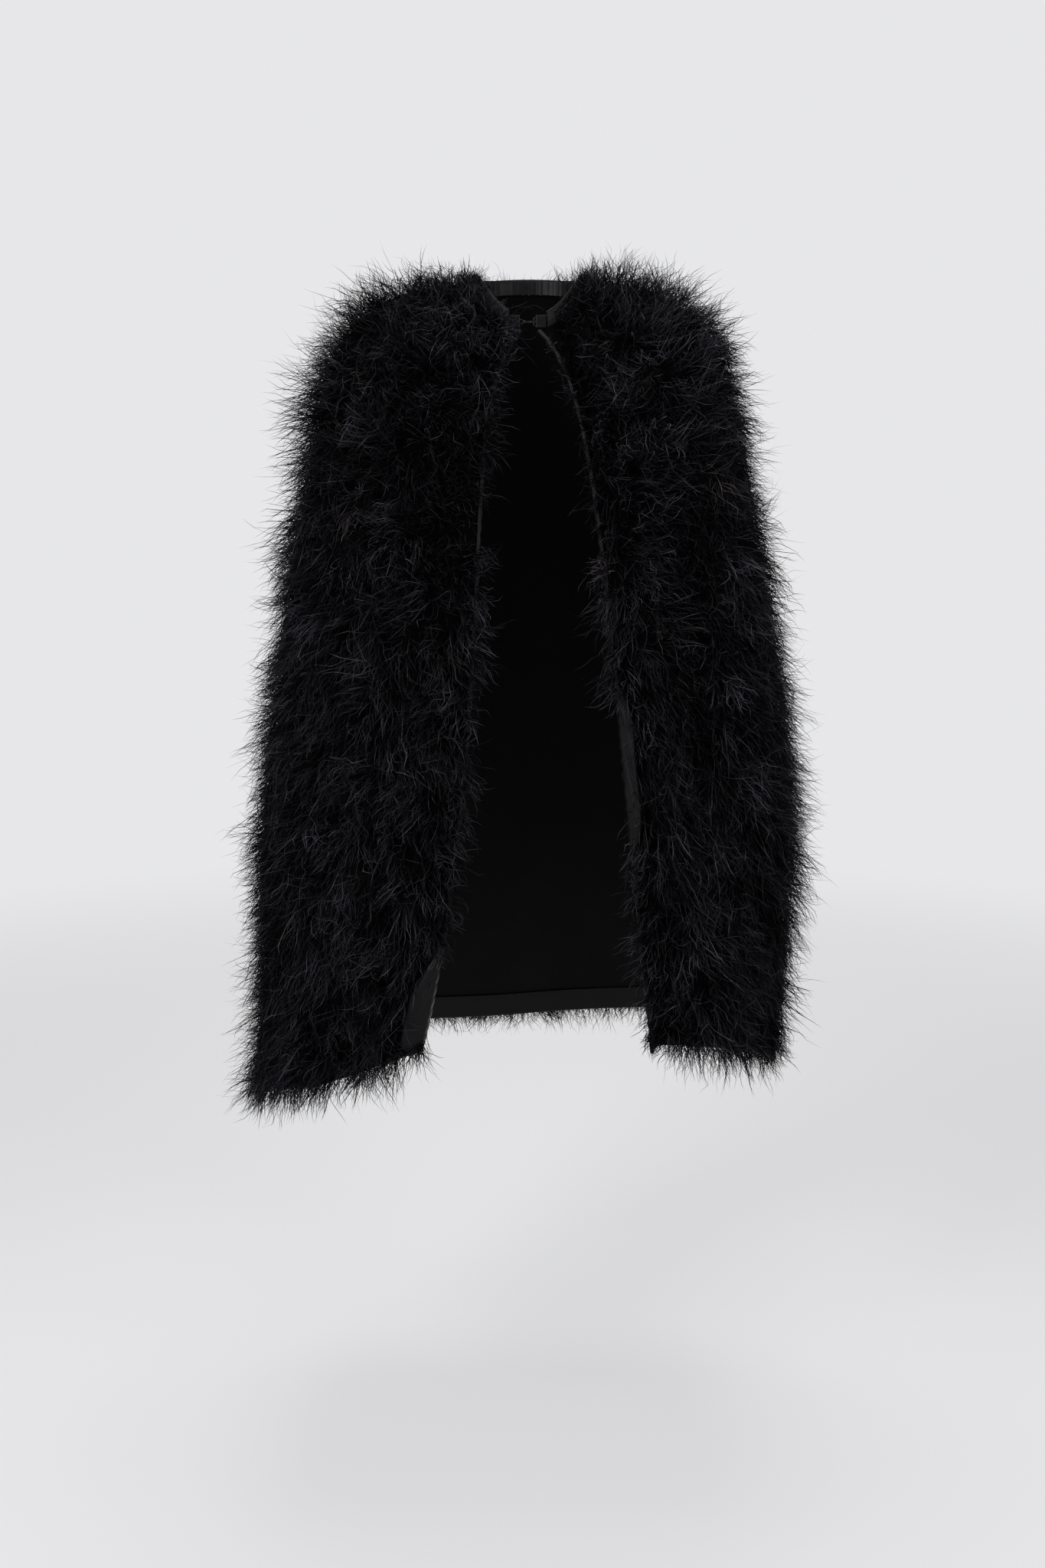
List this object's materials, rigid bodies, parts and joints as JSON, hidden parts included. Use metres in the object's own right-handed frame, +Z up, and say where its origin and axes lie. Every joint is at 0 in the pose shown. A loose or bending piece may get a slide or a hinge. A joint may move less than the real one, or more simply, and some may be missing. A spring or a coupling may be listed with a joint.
{
  "type": "marabou feather cape",
  "caption": "Knee-length black marabou feather cape with satin lining, open front and a wire hook and eye at the neck",
  "frame": {"origin": "middle of the neckline, at the height of its sides", "axes": "+Z up, the wearer looks along -Y and the wearer's left is +X"},
  "size_m": [0.7248, 0.4668, 1.0173],
  "materials": {
    "marabou": "fluffy down, soft sheen",
    "shell_satin": "matt woven cloth",
    "lining_satin": "satin",
    "trim_satin": "satin, stitched",
    "blackened_wire": "blackened steel wire",
    "thread": "twisted thread"
  },
  "bodies": {
    "root": {"marabou_strip_01": "marabou", "marabou_strip_02": "marabou", "marabou_strip_03": "marabou", "marabou_strip_04": "marabou", "marabou_strip_05": "marabou", "marabou_strip_06": "marabou", "marabou_strip_07": "marabou", "marabou_strip_08": "marabou", "marabou_strip_09": "marabou", "marabou_strip_10": "marabou", "marabou_strip_11": "marabou", "marabou_strip_12": "marabou", "marabou_strip_13": "marabou", "marabou_strip_14": "marabou", "marabou_strip_15": "marabou", "marabou_strip_16": "marabou", "marabou_strip_17": "marabou", "marabou_strip_18": "marabou", "marabou_strip_19": "marabou", "marabou_strip_20": "marabou", "marabou_strip_21": "marabou", "marabou_strip_22": "marabou", "shell_left": "shell_satin", "shell_back": "shell_satin", "shell_right": "shell_satin", "lining_left": "lining_satin", "lining_back": "lining_satin", "lining_right": "lining_satin", "facing_left_upper": "trim_satin", "facing_right_upper": "trim_satin", "hem_binding_back": "trim_satin", "neckband": "trim_satin", "neckband_left_end": "trim_satin", "wire_hook": "blackened_wire", "hook_thread": "thread"},
    "left_front": {"left_front_strip_1": "marabou", "left_front_strip_2": "marabou", "left_front_strip_3": "marabou", "shell_left_front": "shell_satin", "lining_left_front": "lining_satin", "facing_left": "trim_satin", "hem_binding_left": "trim_satin"},
    "right_front": {"right_front_strip_1": "marabou", "right_front_strip_2": "marabou", "right_front_strip_3": "marabou", "shell_right_front": "shell_satin", "lining_right_front": "lining_satin", "facing_right": "trim_satin", "hem_binding_right": "trim_satin"},
    "eye_end": {"neckband_right_end": "trim_satin", "wire_eye": "blackened_wire", "eye_thread": "thread"}
  },
  "joints": [
    {"name": "left_front_fold", "type": "hinge", "parent": "root", "child": "left_front", "pos_m": [0.036, -0.197, -0.146], "axis": [-0.277, 0.0135, 0.9608], "range_deg": [0, 60]},
    {"name": "right_front_fold", "type": "hinge", "parent": "root", "child": "right_front", "pos_m": [-0.036, -0.197, -0.146], "axis": [-0.277, -0.0135, -0.9608], "range_deg": [0, 60]},
    {"name": "hook_release", "type": "slide", "parent": "root", "child": "eye_end", "axis": [0.9063, -0.4226, 0], "range_m": [0, 0.005]}
  ]
}
